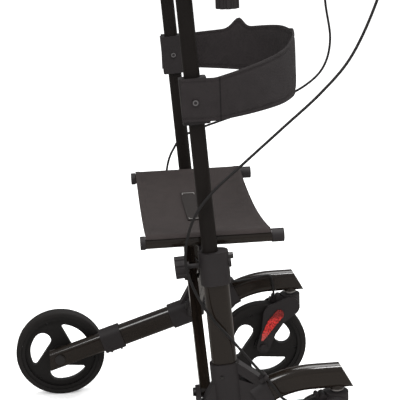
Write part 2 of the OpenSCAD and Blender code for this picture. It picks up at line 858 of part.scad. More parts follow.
// Handle tube: level under the armrest, then bent up into the grip
module handle_path(r) {
    bend_x = grip_x - handle_bend_r;
    translate([0, -side_y, handle_z]) rod_x(handle_x - handle_back, bend_x, r);
    translate([bend_x, -side_y, handle_z + handle_bend_r]) rotate([90, 0, 0]) rotate([0, 0, -90])
        rotate_extrude(angle = 90) translate([handle_bend_r, 0]) circle(r = r);
    translate([grip_x, -side_y, handle_z + handle_bend_r])
        cylinder(r = r, h = brake_low + brake_h - handle_z - handle_bend_r);
}

module handle_tube() {
    color(post_colour) {
        difference() {
            handle_path(handle_r);
            handle_path(handle_r - handle_wall);
        }
        translate([0, -side_y, handle_z])
            rod_x(handle_x - handle_back - handle_plug_h, handle_x - handle_back, handle_r);
        translate([grip_x, -side_y, brake_low + brake_h]) cylinder(r = handle_r, h = handle_plug_h);
    }
}

module grip() {
    bore = handle_r + seat_gap;
    waist = (grip_r + bore) / 2;
    color(plastic_colour) translate([grip_x, -side_y, grip_low]) rotate_extrude()
        polygon([[bore, 0], [grip_end_r, 0], [grip_end_r, grip_end_h], [grip_r, 2 * grip_end_h],
            [grip_r, grip_len * grip_shares[0]], [waist + grip_end_h / 2, grip_len * grip_shares[1]],
            [grip_r, grip_len * grip_shares[2]],
            [grip_r, grip_len - grip_end_h], [waist, grip_len], [bore, grip_len]]);
}

// Brake body on top of the grip: clamp ring, lever clevis with its pin, and cable outlet
module brake_body() {
    color(plastic_colour) {
        difference() {
            union() {
                translate([grip_x, -side_y, brake_low]) cylinder(r = brake_ring_r, h = brake_h);
                side_view(-side_y, brake_block_w)
                    link([grip_x, lever_z], brake_h / 2, [lever_x, lever_z], lever_eye_r + lever_gap);
                side_view(-side_y, brake_block_w) translate([lever_x - lever_out / 2, lever_z])
                    square([lever_out / 2, outlet_z - lever_z]);
            }
            translate([grip_x, -side_y, brake_low - cut])
                cylinder(r = handle_r + seat_gap, h = brake_h + 2 * cut);
            for (x = [lever_x + lever_bow, lever_x + lever_bow - squeeze_room])
                side_view(-side_y, lever_w + 2 * lever_gap)
                    link([lever_x, lever_z], lever_eye_r + lever_gap + cut / 2,
                        [x, lever_z - brake_h], lever_eye_r + cut);
        }
        translate([lever_x, -side_y, lever_z]) rod_y(-brake_block_w / 2, brake_block_w / 2, lever_pin_r);
        translate([lever_x, -side_y, outlet_z]) rod_x(-lever_out / 2, outlet_len, outlet_r);
    }
}

module brake_lever() {
    points = [for (i = [0 : len(lever_rs) - 1])
        [lever_x + lever_out_shares[i] * lever_bow, lever_z - lever_drop_shares[i] * lever_len]];
    color(plastic_colour) difference() {
        union() for (i = [0 : len(points) - 2])
            side_view(-side_y, lever_w) link(points[i], lever_rs[i], points[i + 1], lever_rs[i + 1]);
        translate([lever_x, -side_y, lever_z]) rod_y(-lever_w, lever_w, lever_pin_r + run_gap);
    }
}

// Forearm tray on a clamp that slides along the handle tube
module tray_outline(inner, outer, turn) {
    far = 2 * outer;
    intersection() {
        difference() {
            circle(r = outer);
            circle(r = inner);
        }
        polygon([[0, 0], [-far * sin(turn), -far * cos(turn)], [-far, -far], [0, -far], [far, -far],
            [far * sin(turn), -far * cos(turn)]]);
    }
}

module armrest_tray() {
    clamp_top = tray_lift + tray_wall / 2;
    color(plastic_colour) difference() {
        union() {
            translate([tray_rear_x + armrest_len / 2, -side_y, tray_z]) rotate([90, 0, 90])
                linear_extrude(armrest_len, center = true)
                    tray_outline(tray_r, tray_r + tray_wall, tray_angle);
            translate([clamp_x - clamp_len / 2, -side_y, handle_z]) rotate([90, 0, 90])
                linear_extrude(clamp_len) translate([0, (clamp_top - clamp_drop) / 2])
                    rounded_box_outline(clamp_w, clamp_top + clamp_drop, bracket_round);
        }
        translate([clamp_x, -side_y, handle_z]) rod_x(-clamp_len, clamp_len, handle_r + run_gap);
        translate([clamp_x, -side_y, handle_z - 2 * clamp_drop])
            cylinder(r = screw_r + run_gap, h = 2 * clamp_drop);
    }
}

// Forearm cushion: crowned, with its ends and sides drawn in
function pad_crown(w) = 1 - abs(w) ^ pad_round;

function pad_thickness(u, v) = pad_edge_t + (pad_t - pad_edge_t) * pad_crown(u) * pad_crown(v);

function pad_point(u, v, depth) =
    let (r = tray_r - cloth_gap - depth, turn = v * pad_angle * (1 - pad_draw_share * u ^ 2 * v ^ 2))
    [tray_rear_x + armrest_len / 2 + u * (armrest_len / 2 - pad_inset) * (1 - pad_draw_share * v ^ 2 / 2),
        -side_y + r * sin(turn), tray_z - r * cos(turn)];

module armrest_pad() {
    us = [for (i = [0 : pad_rows]) 2 * i / pad_rows - 1];
    vs = [for (j = [0 : pad_columns]) 2 * j / pad_columns - 1];
    color(cloth_colour) shell_between(
        [for (u = us) [for (v = vs) pad_point(u, v, pad_thickness(u, v))]],
        [for (u = us) [for (v = vs) pad_point(u, v, 0)]]);
}

// Fluted clamp knob on its screw, with the screw pointing along +Z from the origin
module clamp_knob(screw_len) {
    translate([0, 0, -knob_h]) difference() {
        cylinder(r = knob_r, h = knob_h);
        for (i = [0 : flutes - 1])
            rotate(i * 360 / flutes) translate([knob_r + flute_out, 0, -cut])
                cylinder(r = flute_r, h = knob_h + 2 * cut);
    }
    cylinder(r = knob_neck_r, h = knob_neck_h);
    cylinder(r = screw_r, h = screw_len);
}

module post_knob() {
    reach = main_depth / 2 + shell_wall + post_knob_stand;
    tip = post_depth / 2 - post_offset + slide_gap + screw_tip_gap;
    color(plastic_colour) on_post_axis() translate([-reach, 0, knob_s]) rotate([0, 90, 0])
        clamp_knob(reach - tip);
}

module armrest_knob() {
    color(plastic_colour) translate([clamp_x, -side_y, handle_z - clamp_drop - armrest_knob_stand])
        clamp_knob(clamp_drop + armrest_knob_stand - handle_r - screw_tip_gap);
}

// Swivelling fork with its axle and the pin of the brake shoe
function around_axle(turn, r) = [front_axle_x + r * cos(turn), wheel_r + r * sin(turn)];

function on_fork(share) =
    [front_axle_x + share[0] * (stem_x - crown_back - front_axle_x),
        wheel_r + share[1] * (cup_low + crown_rise - wheel_r)];

// Crown and cheeks, with a slot between the cheeks for the brake shoe
module fork_cheeks() {
    difference() {
        union() {
            translate([stem_x, -side_y, cup_low - crown_r / 2])
                cylinder(r = cup_r, h = cup_h + crown_r / 2);
            for (i = [0 : len(fork_rs) - 2])
                side_view(-side_y, fork_w)
                    link(on_fork(fork_shares[i]), fork_rs[i],
                        on_fork(fork_shares[i + 1]), fork_rs[i + 1]);
        }
        side_view(-side_y, fork_slot_w)
            link(around_axle(shoe_room_angles[0], wheel_r + shoe_room_out), shoe_room_r,
                around_axle(shoe_room_angles[1], wheel_r + shoe_room_out), shoe_room_r);
    }
}

module fork() {
    shoe_room = shoe_w + 2 * ear_gap;
    color(plastic_colour) {
        difference() {
            union() {
                fork_cheeks();
                side_view(-side_y, shoe_room + 2 * ear_w)
                    link(shoe_pin, shoe_eye_r, [stem_x - ear_back, cup_top - crown_r], shoe_eye_r);
            }
            translate([front_axle_x, -side_y, wheel_r])
                rod_y(-fork_slot_w / 2, fork_slot_w / 2, wheel_r + wheel_room);
            translate([shoe_pin.x, -side_y, shoe_pin.y])
                rod_y(-shoe_room / 2, shoe_room / 2, shoe_eye_r + shoe_eye_room);
            translate([stem_x, -side_y, cup_low + stem_foot]) cylinder(r = stem_r + run_gap, h = cup_top);
        }
        translate([shoe_pin.x, -side_y, shoe_pin.y])
            rod_y(-shoe_room / 2 - ear_w, shoe_room / 2 + ear_w, shoe_pin_r);
        translate([front_axle_x, -side_y, wheel_r]) {
            rod_y(-fork_w / 2, fork_w / 2, axle_r);
            for (s = [-1, 1])
                translate([0, s * (fork_w / 2 + bolt_head_h / 2), 0])
                    rod_y(-bolt_head_h / 2, bolt_head_h / 2, bolt_head_r);
        }
    }
}

// Tapered reflectors on the outer faces of the fork's cheeks
module reflectors() {
    color(reflector_colour) for (s = [-1, 1])
        union() for (i = [0 : len(reflector_rs) - 2])
            side_view(-side_y + s * (fork_w / 2 + reflector_t / 2), reflector_t)
                link(on_fork(reflector_shares[i]), reflector_rs[i],
                    on_fork(reflector_shares[i + 1]), reflector_rs[i + 1]);
}

module brake_shoe() {
    barrel = around_axle(barrel_angle, wheel_r + barrel_out);
    middle = around_axle(barrel_angle, wheel_r + shoe_gap + shoe_t / 2);
    neck = around_axle(shoe_start_angle + shoe_neck_angle, wheel_r + shoe_gap + shoe_t - shoe_eye_r / 2);
    color(plastic_colour) difference() {
        union() {
            side_view(-side_y, shoe_w) intersection() {
                translate([front_axle_x, wheel_r]) circle(r = wheel_r + shoe_gap + shoe_t);
                polygon([[front_axle_x, wheel_r], around_axle(shoe_start_angle, 2 * wheel_r),
                    around_axle(shoe_end_angle, 2 * wheel_r)]);
            }
            side_view(-side_y, shoe_w) link(shoe_pin, shoe_eye_r, neck, shoe_eye_r / 2);
            side_view(-side_y, shoe_w) link(middle, barrel_r, barrel, barrel_r);
        }
        translate([shoe_pin.x, -side_y, shoe_pin.y]) rod_y(-shoe_w, shoe_w, shoe_pin_r + run_gap);
        translate([front_axle_x, -side_y, wheel_r]) rod_y(-shoe_w, shoe_w, wheel_r + shoe_gap);
    }
}

// Wheel: three-window rim and its tyre, axis along Z at the origin
function window_half(i) = window_big_r + (window_small_r - window_big_r) * i / window_steps;

function window_middle(i) =
    let (turn = window_angle * i / window_steps)
    (window_pitch_r + window_tip_out * i / window_steps) * [cos(turn), sin(turn)];

function window_side(i) = window_middle(i) + window_half(i) * unit(window_middle(i));

function window_end(i, from, to) =
    [for (k = [1 : window_steps]) let (a = from + (to - from) * k / window_steps)
        window_middle(i) + window_half(i) * [cos(a), sin(a)]];

module window_outline() {
    polygon(concat([for (i = [0 : window_steps]) window_side(i)],
        window_end(window_steps, window_angle, half_turn),
        [for (k = [0 : window_steps - 1]) let (a = half_turn * (1 + k / window_steps))
            window_middle(0) + window_half(0) * [cos(a), sin(a)]]));
}

module rim() {
    difference() {
        union() {
            rotate_extrude() translate([rim_in_r, -rim_w / 2]) square([rim_r - rim_in_r, rim_w]);
            linear_extrude(web_disc_w, center = true) difference() {
                circle(r = (rim_in_r + rim_r) / 2);
                for (i = [0 : spokes - 1]) rotate(wheel_phase_angle + i * 360 / spokes) {
                    window_outline();
                    rotate(window_angle + (360 / spokes - window_angle) / 2)
                        translate([rim_in_r - rim_hole_out, 0]) circle(r = rim_hole_r);
                }
            }
            cylinder(r = wheel_hub_r, h = wheel_hub_w, center = true);
        }
        cylinder(r = axle_r + run_gap, h = wheel_hub_w + cut, center = true);
    }
}

module tyre() {
    thick = wheel_r - rim_r - slide_gap;
    round = min(tyre_round, thick / 2);
    rotate_extrude() translate([rim_r + slide_gap, 0]) {
        translate([0, -tyre_w / 2]) square([thick - round, tyre_w]);
        translate([0, -tyre_w / 2 + round]) square([thick, tyre_w - 2 * round]);
        for (s = [-1, 1])
            translate([thick - round, s * (tyre_w / 2 - round)]) circle(r = round);
    }
}

module at_front_wheel() {
    translate([front_axle_x, -side_y, wheel_r]) rotate([90, 0, 0]) children();
}

module at_rear_wheel() {
    translate([rear_axle_x, -rear_wheel_y, wheel_r]) rotate([90, 0, 0]) children();
}

// Cross bar with its welded seat rail, from the foot on one side up to the rail on the other
module cross_frame(bar_x, foot_side) {
    foot = [foot_side * pivot_y, pivot_z];
    top = [-foot_side * rail_y, rail_z];
    middle = foot + (top - foot) * pivot_y / (pivot_y + rail_y);
    across = unit([foot.y - top.y, top.x - foot.x]);
    color(frame_colour) difference() {
        union() {
            front_view(bar_x, bar_w) link(foot, bar_foot_r, top, bar_top_r);
            translate([0, top.x, top.y]) rod_x(seat_x - rail_len / 2, seat_x + rail_len / 2, rail_r);
        }
        for (s = [-1, 1])
            front_view(bar_x, bar_groove_w)
                link(foot + (top - foot) * bar_groove_shares[0] + s * bar_foot_r * across, bar_groove_deep,
                    foot + (top - foot) * bar_groove_shares[1] + s * bar_top_r * across, bar_groove_deep);
        translate([0, top.x, top.y])
            rod_x(seat_x - rail_len / 2 - cut, seat_x + rail_len / 2 + cut, rail_r - tube_wall);
        for (p = [foot, middle])
            translate([0, p.x, p.y]) rod_x(bar_x - bar_w, bar_x + bar_w, bolt_r + run_gap);
    }
}

// Caps plugged into the rail's ends; the front one also sleeves the rail up to the seat cloth
module rail_caps(y) {
    plug_r = rail_r - tube_wall - seat_gap;
    sleeve_len = seat_front_room - rail_cap_gap;
    color(plastic_colour) translate([seat_x, y, rail_z]) {
        for (s = [0, 1]) mirror([s, 0, 0]) {
            rod_x(rail_len / 2, rail_len / 2 + rail_cap_h, rail_cap_r);
            rod_x(rail_len / 2 - rail_plug_len, rail_len / 2, plug_r);
        }
        difference() {
            rod_x(rail_len / 2 - sleeve_len, rail_len / 2, rail_cap_r);
            rod_x(rail_len / 2 - sleeve_len - cut, rail_len / 2 + cut, rail_r + seat_gap);
        }
    }
}

module cross_bolt() {
    middle_z = pivot_z + (rail_z - pivot_z) * pivot_y / (pivot_y + rail_y);
    rear = bar_a_x - bar_w / 2;
    front = bar_b_x + bar_w / 2;
    color(steel_colour) translate([0, 0, middle_z]) {
        rod_x(rear - slide_gap, front + slide_gap, bolt_r);
        rod_x(rear - bolt_head_h, rear, bolt_head_r);
        rod_x(front + slide_gap, front + bolt_head_h, bolt_head_r);
    }
}

// Seat cloth: sags between the rails and wraps over their outer sides
function seat_line(v, lift) =
    let (flat = 1 - seat_wrap_share, r = rail_r + cloth_gap + lift, s = sign(v), a = abs(v))
    a <= flat ? [v / flat * rail_y, rail_z + r - seat_sag * (1 - (v / flat) ^ 2)]
        : let (turn = (a - flat) / seat_wrap_share * seat_wrap_angle)
        [s * (rail_y + r * sin(turn)), rail_z + r * cos(turn)];

module seat_sheet() {
    xs = [for (i = [0 : seat_rows]) seat_from_x + i / seat_rows * (seat_to_x - seat_from_x)];
    flat = 1 - seat_wrap_share;
    wraps = [for (j = [1 : seat_wrap_steps]) flat + seat_wrap_share * j / seat_wrap_steps];
    vs = concat([for (j = [1 : seat_wrap_steps]) -wraps[seat_wrap_steps - j]],
        [for (j = [0 : seat_steps]) flat * (2 * j / seat_steps - 1)], wraps);
    color(cloth_colour) shell_between(
        [for (x = xs) [for (v = vs) [x, seat_line(v, seat_t).x, seat_line(v, seat_t).y]]],
        [for (x = xs) [for (v = vs) [x, seat_line(v, 0).x, seat_line(v, 0).y]]]);
}

module seat_pull_strap() {
    ys = [for (j = [0 : pull_steps]) pull_from_y + (pull_to_y - pull_from_y) * j / pull_steps];
    function top(y, lift) = seat_line(y / rail_y * (1 - seat_wrap_share), seat_t).y + slide_gap + lift;
    color(post_colour) shell_between(
        [for (s = [-1, 1]) [for (y = ys) [pull_x + s * pull_w / 2, y, top(y, pull_t)]]],
        [for (s = [-1, 1]) [for (y = ys) [pull_x + s * pull_w / 2, y, top(y, 0)]]]);
}

// Backrest strap: plan line from the outer face of one bracket round the front to the other
function strap_plan() =
    let (ends = [for (i = [0 : strap_end_steps - 1])
            [strap_end_x - (1 - i / strap_end_steps) * (strap_end_back + strap_end_ahead), -strap_y]],
        bow = [for (i = [0 : strap_steps]) let (v = 2 * i / strap_steps - 1)
            [strap_front_x - (strap_front_x - strap_end_x) * abs(v) ^ strap_bow_power, v * strap_y]],
        back = [for (i = [strap_end_steps - 1 : -1 : 0]) [ends[i].x, strap_y]])
    concat(ends, bow, back);

function strap_grid(side) =
    let (plan = strap_plan(), last = len(plan) - 1)
    [for (i = [0 : last])
        let (t = unit(plan[min(i + 1, last)] - plan[max(i - 1, 0)]), v = plan[i].y / strap_y,
            high = strap_end_h + (strap_mid_h - strap_end_h) * (1 - v ^ 2),
            pinch = strap_pinch_h * exp(-((plan[i].y - strap_pinch_y) / strap_pinch_w) ^ 2))
        [for (j = [0 : strap_rows])
            let (w = 2 * j / strap_rows - 1,
                half = (strap_edge_t + (strap_t - strap_edge_t) * (1 - w ^ 4)) / 2,
                flat = plan[i] + side * half * [t.y, -t.x])
            [flat.x, flat.y, strap_z + strap_rise * (1 - v ^ 2) + w * high / 2 + (w > 0 ? pinch * w : 0)]]];

module backrest_strap() {
    color(cloth_colour) difference() {
        shell_between(strap_grid(1), strap_grid(-1));
        for (side = sides)
            on_side(side) on_post_axis() translate([post_offset, 0, rest_bolt_s])
                rod_y(-bracket_width, 0, screw_r + slide_gap);
    }
}

main_tube();  // right_main_tube
on_side("left") main_tube();  // left_main_tube
hub("right", bar_a_x, right_route[right_clip], clip_angles[0]);  // right_hub
hub("left", bar_b_x, left_route[left_clip], clip_angles[1]);  // left_hub
front_arm();  // right_front_arm
on_side("left") front_arm();  // left_front_arm
rear_leg();  // right_rear_leg
on_side("left") rear_leg();  // left_rear_leg
leg_extension();  // right_leg_extension
on_side("left") leg_extension();  // left_leg_extension
leg_collar();  // right_leg_collar
on_side("left") leg_collar();  // left_leg_collar
post_collar(bar_b_x);  // right_post_collar
on_side("left") post_collar(bar_a_x);  // left_post_collar
frame_bolts(bar_a_x);  // right_frame_bolts
on_side("left") frame_bolts(bar_b_x);  // left_frame_bolts
brake_cable(right_route);  // right_brake_cable
brake_cable(left_route);  // left_brake_cable
post();  // right_post
on_side("left") post();  // left_post
rest_bracket();  // right_rest_bracket
on_side("left") rest_bracket();  // left_rest_bracket
handle_tube();  // right_handle_tube
on_side("left") handle_tube();  // left_handle_tube
grip();  // right_grip
on_side("left") grip();  // left_grip
brake_body();  // right_brake_body
on_side("left") brake_body();  // left_brake_body
armrest_tray();  // right_armrest_tray
on_side("left") armrest_tray();  // left_armrest_tray
armrest_pad();  // right_armrest_pad
on_side("left") armrest_pad();  // left_armrest_pad
brake_lever();  // right_brake_lever
on_side("left") brake_lever();  // left_brake_lever
post_knob();  // right_post_knob
on_side("left") post_knob();  // left_post_knob
armrest_knob();  // right_armrest_knob
on_side("left") armrest_knob();  // left_armrest_knob
brake_shoe();  // right_brake_shoe
on_side("left") brake_shoe();  // left_brake_shoe
fork();  // right_fork
on_side("left") fork();  // left_fork
reflectors();  // right_reflectors
on_side("left") reflectors();  // left_reflectors
color(post_colour) at_front_wheel() rim();  // right_front_rim
on_side("left") color(post_colour) at_front_wheel() rim();  // left_front_rim
color(tyre_colour) at_front_wheel() tyre();  // right_front_tyre
on_side("left") color(tyre_colour) at_front_wheel() tyre();  // left_front_tyre
color(post_colour) at_rear_wheel() rim();  // right_rear_rim
on_side("left") color(post_colour) at_rear_wheel() rim();  // left_rear_rim
color(tyre_colour) at_rear_wheel() tyre();  // right_rear_tyre
on_side("left") color(tyre_colour) at_rear_wheel() tyre();  // left_rear_tyre
rail_caps(-rail_y);  // right_rail_caps
rail_caps(rail_y);  // left_rail_caps
cross_frame(bar_a_x, -1);  // cross_frame_a
cross_frame(bar_b_x, 1);  // cross_frame_b
cross_bolt();
seat_sheet();
seat_pull_strap();
backrest_strap();
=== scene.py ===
import bpy
import json
import math
from mathutils import Matrix, Vector, noise


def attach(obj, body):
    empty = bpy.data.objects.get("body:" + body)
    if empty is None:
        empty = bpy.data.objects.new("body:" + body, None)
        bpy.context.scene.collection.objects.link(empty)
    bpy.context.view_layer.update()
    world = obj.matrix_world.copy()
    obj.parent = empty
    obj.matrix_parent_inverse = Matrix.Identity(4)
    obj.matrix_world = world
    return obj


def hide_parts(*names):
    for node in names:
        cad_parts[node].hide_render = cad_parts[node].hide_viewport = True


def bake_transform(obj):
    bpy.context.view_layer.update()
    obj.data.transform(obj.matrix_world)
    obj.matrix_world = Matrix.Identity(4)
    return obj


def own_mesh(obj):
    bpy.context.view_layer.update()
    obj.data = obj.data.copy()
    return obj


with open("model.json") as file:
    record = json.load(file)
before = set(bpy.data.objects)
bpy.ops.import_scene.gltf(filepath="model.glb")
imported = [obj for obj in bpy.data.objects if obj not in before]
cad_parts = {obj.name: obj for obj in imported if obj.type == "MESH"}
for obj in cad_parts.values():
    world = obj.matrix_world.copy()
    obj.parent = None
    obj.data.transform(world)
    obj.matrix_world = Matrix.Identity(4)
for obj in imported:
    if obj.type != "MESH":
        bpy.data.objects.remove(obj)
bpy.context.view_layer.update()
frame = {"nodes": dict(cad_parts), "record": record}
print("stage: frame loaded")


# Small tools for modelling
def clearSelection():
    if bpy.context.object and bpy.context.object.mode != "OBJECT":
        bpy.ops.object.mode_set(mode="OBJECT")
    bpy.ops.object.select_all(action="DESELECT")


def pick(piece):
    clearSelection()
    piece.select_set(True)
    bpy.context.view_layer.objects.active = piece


def applyModifier(piece, kind, **settings):
    pick(piece)
    modifier = piece.modifiers.new(kind.title(), kind)
    for key, value in settings.items():
        setattr(modifier, key, value)
    bpy.ops.object.modifier_apply(modifier=modifier.name)


def finishMesh(piece, smoothAngle):
    pick(piece)
    bpy.ops.object.transform_apply(location=True, rotation=True, scale=True)
    bpy.ops.object.mode_set(mode="EDIT")
    bpy.ops.mesh.select_all(action="SELECT")
    bpy.ops.mesh.normals_make_consistent(inside=False)
    bpy.ops.object.mode_set(mode="OBJECT")
    bpy.ops.object.shade_smooth_by_angle(angle=math.radians(smoothAngle))
    return piece


# A grid from -1 to 1 with a back from solidify; each point is then put in its place
slabSettings = {"size": 2, "thick": 0.01}


def slabPiece(name, settings, place):
    clearSelection()
    bpy.ops.mesh.primitive_grid_add(
        x_subdivisions=settings["columns"], y_subdivisions=settings["rows"], size=slabSettings["size"])
    piece = bpy.context.object
    piece.name = name
    shares = [(vertex.co.x, vertex.co.y) for vertex in piece.data.vertices]
    applyModifier(piece, "SOLIDIFY", thickness=slabSettings["thick"], offset=1)
    count = len(shares)
    for index, vertex in enumerate(piece.data.vertices):
        side = 1 if index < count else -1
        vertex.co = place(*shares[index % count], side)
    return finishMesh(piece, settings["smoothAngle"])


# Smooth path through the points, with equal steps from each one to the next
def smoothCurve(points, steps):
    last = len(points) - 1
    path = []
    for i in range(last):
        a, b = points[max(i - 1, 0)], points[i]
        c, d = points[i + 1], points[min(i + 2, last)]
        for k in range(steps):
            t = k / steps
            path.append((2 * b + (c - a) * t + (2 * a - 5 * b + 4 * c - d) * t ** 2
                         + (3 * b - a - 3 * c + d) * t ** 3) / 2)
    return path + [points[last]]


tubeSettings = {"roundness": 3, "smoothAngle": 60}


def tubePiece(name, path, radius):
    clearSelection()
    bpy.ops.curve.primitive_nurbs_path_add()
    piece = bpy.context.object
    piece.name = name
    piece.data.splines.clear()
    spline = piece.data.splines.new("POLY")
    spline.points.add(len(path) - 1)
    for point, place in zip(spline.points, path):
        point.co = (*place, 1)
    piece.data.bevel_depth = radius
    piece.data.bevel_resolution = tubeSettings["roundness"]
    piece.data.use_fill_caps = True
    bpy.ops.object.convert(target="MESH")
    return finishMesh(bpy.context.object, tubeSettings["smoothAngle"])


# A rise to 1 at the middle that falls away on both sides
def bell(value, middle, wide):
    return math.exp(-((value - middle) / wide) ** 2)


# Camera at the photo's angle
cameraSettings = {
    "place": (-0.1397, -2.2585, 1.1595),
    "yaw": -4.579,
    "pitch": 15.701,
    "roll": -2.29,
    "lens": 107.5,
    "sensor": 36,
}


def makeCamera(settings):
    yaw, pitch, roll = (math.radians(settings[key]) for key in ("yaw", "pitch", "roll"))
    level = Vector((-math.sin(yaw), math.cos(yaw), 0))
    forward = level * math.cos(pitch) - Vector((0, 0, math.sin(pitch)))
    right = Vector((math.cos(yaw), math.sin(yaw), 0))
    up = right.cross(forward)
    turnedRight = right * math.cos(roll) + up * math.sin(roll)
    turnedUp = up * math.cos(roll) - right * math.sin(roll)
    clearSelection()
    bpy.ops.object.camera_add()
    camera = bpy.context.object
    turn = Matrix((turnedRight, turnedUp, -forward)).transposed().to_4x4()
    camera.matrix_world = Matrix.Translation(settings["place"]) @ turn
    camera.data.lens = settings["lens"]
    camera.data.sensor_width = settings["sensor"]
    bpy.context.scene.camera = camera


makeCamera(cameraSettings)
print("stage: camera placed")


# A socket's value: sums, differences and products of such values add Math nodes
class Value:
    def __init__(self, nodes, socket):
        self.nodes = nodes
        self.socket = socket

    def output(self, name):
        return Value(self.nodes, self.socket.node.outputs[name])

    def maths(self, operation, *others):
        return self.nodes.maths(operation, self, *others)

    def __add__(self, other):
        return self.nodes.maths("ADD", self, other)

    def __radd__(self, other):
        return self.nodes.maths("ADD", other, self)

    def __sub__(self, other):
        return self.nodes.maths("SUBTRACT", self, other)

    def __rsub__(self, other):
        return self.nodes.maths("SUBTRACT", other, self)

    def __mul__(self, other):
        return self.nodes.maths("MULTIPLY", self, other)

    def __rmul__(self, other):
        return self.nodes.maths("MULTIPLY", other, self)


# Every node comes from one method: its type, its settings, then its sockets' values or links
class Nodes:
    def __init__(self, tree):
        self.tree = tree

    def feed(self, socket, value):
        if isinstance(value, Value):
            self.tree.links.new(value.socket, socket)
        else:
            socket.default_value = value

    def node(self, kind, settings, sockets):
        made = self.tree.nodes.new(kind)
        for key, value in settings.items():
            setattr(made, key, value)
        for key, value in sockets.items():
            self.feed(made.inputs[key], value)
        return Value(self, made.outputs[0])

    def maths(self, operation, *operands):
        return self.node("ShaderNodeMath", {"operation": operation}, dict(enumerate(operands)))


finishDefaults = {"metallic": 0, "coat": 0, "coatRoughness": 0.1, "specular": 0.5, "wear": 0.1}
finishSockets = {
    "roughness": "Roughness",
    "metallic": "Metallic",
    "coat": "Coat Weight",
    "coatRoughness": "Coat Roughness",
    "specular": "Specular IOR Level",
}
noiseDetail = {"patch": 2, "grain": 1, "crease": 3}


def opaque(colour):
    return (*colour, 1)


def shaded(colour, share):
    return tuple(channel * share for channel in colour)


class Finish(Nodes):
    def __init__(self, name, settings):
        self.material = bpy.data.materials.new(name)
        self.material.use_nodes = True
        super().__init__(self.material.node_tree)
        self.shader = self.tree.nodes["Principled BSDF"]
        self.settings = {**finishDefaults, **settings}
        self.set("Base Color", opaque(self.settings["colour"]))
        for key, socket in finishSockets.items():
            self.set(socket, self.settings[key])
        self.place = self.node("ShaderNodeTexCoord", {}, {}).output("Object")
        split = self.node("ShaderNodeSeparateXYZ", {}, {"Vector": self.place})
        self.x, self.y, self.z = (split.output(axis) for axis in "XYZ")

    def set(self, socket, value):
        self.feed(self.shader.inputs[socket], value)

    def noise(self, scale, kind):
        sockets = {"Vector": self.place, "Scale": scale, "Detail": noiseDetail[kind]}
        return self.node("ShaderNodeTexNoise", {}, sockets).output("Fac")

    def cells(self, scale):
        sockets = {"Vector": self.place, "Scale": scale}
        return self.node("ShaderNodeTexVoronoi", {}, sockets).output("Distance")

    def bump(self, height, distance):
        sockets = {"Strength": 1, "Distance": distance, "Height": height}
        self.set("Normal", self.node("ShaderNodeBump", {}, sockets))

    def mix(self, factor, first, second):
        sockets = {"Factor": factor, "A": first, "B": second}
        return self.node("ShaderNodeMix", {"data_type": "RGBA"}, sockets).output("Result")

    def colours(self, factor, dark, light):
        self.set("Base Color", self.mix(factor, opaque(dark), opaque(light)))

    def patches(self, factor):
        colour, patch = self.settings["colour"], self.settings["patch"]
        self.colours(factor, shaded(colour, 1 - patch), shaded(colour, 1 + patch))

    def paint(self, mask, colour):
        under = Value(self, self.shader.inputs["Base Color"].links[0].from_socket)
        self.set("Base Color", self.mix(mask, under, opaque(colour)))


def plainFinish(name, settings):
    finish = Finish(name, settings)
    s = finish.settings
    patch = finish.noise(s["patchScale"], "patch")
    finish.patches(patch)
    finish.set("Roughness", patch * s["wear"] + s["roughness"])
    finish.bump(finish.noise(s["grainScale"], "grain"), s["grain"])
    return finish


# Moulding with a painted highlight: a pale ring on the head of the bolt that goes through it from side to
# side
def boltedFinish(name, settings):
    finish = plainFinish(name, settings)
    boltX, boltZ = settings["bolt"]
    across = finish.x - boltX
    up = finish.z - boltZ
    radius = (across * across + up * up).maths("SQRT")
    # the pale ring is a painted highlight on the bolt head
    rim = (radius - settings["rim"]).maths("ABSOLUTE").maths("LESS_THAN", settings["rimHalf"])
    finish.paint(rim, settings["rimColour"])
    return finish


# Dark steel, bright where the caster stems stand
def stemFinish(name, settings):
    finish = plainFinish(name, settings)
    finish.paint(finish.x.maths("GREATER_THAN", settings["stemFrom"]), settings["stemColour"])
    return finish


weaveSettings = {"patchShare": 0.7, "weaveShare": 0.3, "fuzzFiner": 4, "fuzz": 0.6}


def wovenFinish(name, settings):
    finish = Finish(name, settings)
    s = weaveSettings
    pitch = 2 * math.pi / settings["thread"]
    across = (finish.x * pitch).maths("SINE")
    along = ((finish.y + finish.z) * pitch).maths("SINE")
    weave = across * along
    patch = finish.noise(settings["patchScale"], "patch")
    finish.patches(patch * s["patchShare"] + weave * s["weaveShare"])
    fuzz = finish.noise(settings["patchScale"] * s["fuzzFiner"], "patch") * s["fuzz"]
    creases = finish.noise(settings["creaseScale"], "crease") * settings["creases"]
    finish.bump(weave + fuzz + creases, settings["grain"])
    return finish


# Cloth with a sewn seam across it
def seamedFinish(name, settings):
    finish = wovenFinish(name, settings)
    seam = (finish.x - settings["seamX"]).maths("ABSOLUTE").maths("LESS_THAN", settings["seamHalf"])
    finish.paint(seam, shaded(settings["colour"], settings["seamShade"]))
    return finish


# Red prisms, each cell painted between shade and glint, with the painted shade of the fork at the top,
# paler at the tip, and a faint painted glow
def prismFinish(name, settings):
    finish = Finish(name, settings)
    s = settings
    # painted glints and shade: lit and shaded copies of the red over the prism cells
    cells = finish.cells(s["cellScale"])
    dark, light = (shaded(s["colour"], share) for share in s["cellShades"])
    finish.colours(cells * s["cellGain"] - s["cellDrop"], dark, light)
    # painted shade of the fork over the top of the reflector
    top = ((finish.z - s["shadeFrom"]) * s["shadeRate"]).maths("MINIMUM", s["shadeMost"])
    finish.paint(top, shaded(s["colour"], s["shade"]))
    tip = ((s["tipTo"] - finish.z) * s["tipRate"]).maths("MINIMUM", s["tipMost"])
    finish.paint(tip, s["tipColour"])
    finish.bump(cells, s["grain"])
    # a faint painted glow, though the reflector is no lamp
    finish.set("Emission Color", opaque(s["colour"]))
    finish.set("Emission Strength", s["glow"])
    return finish


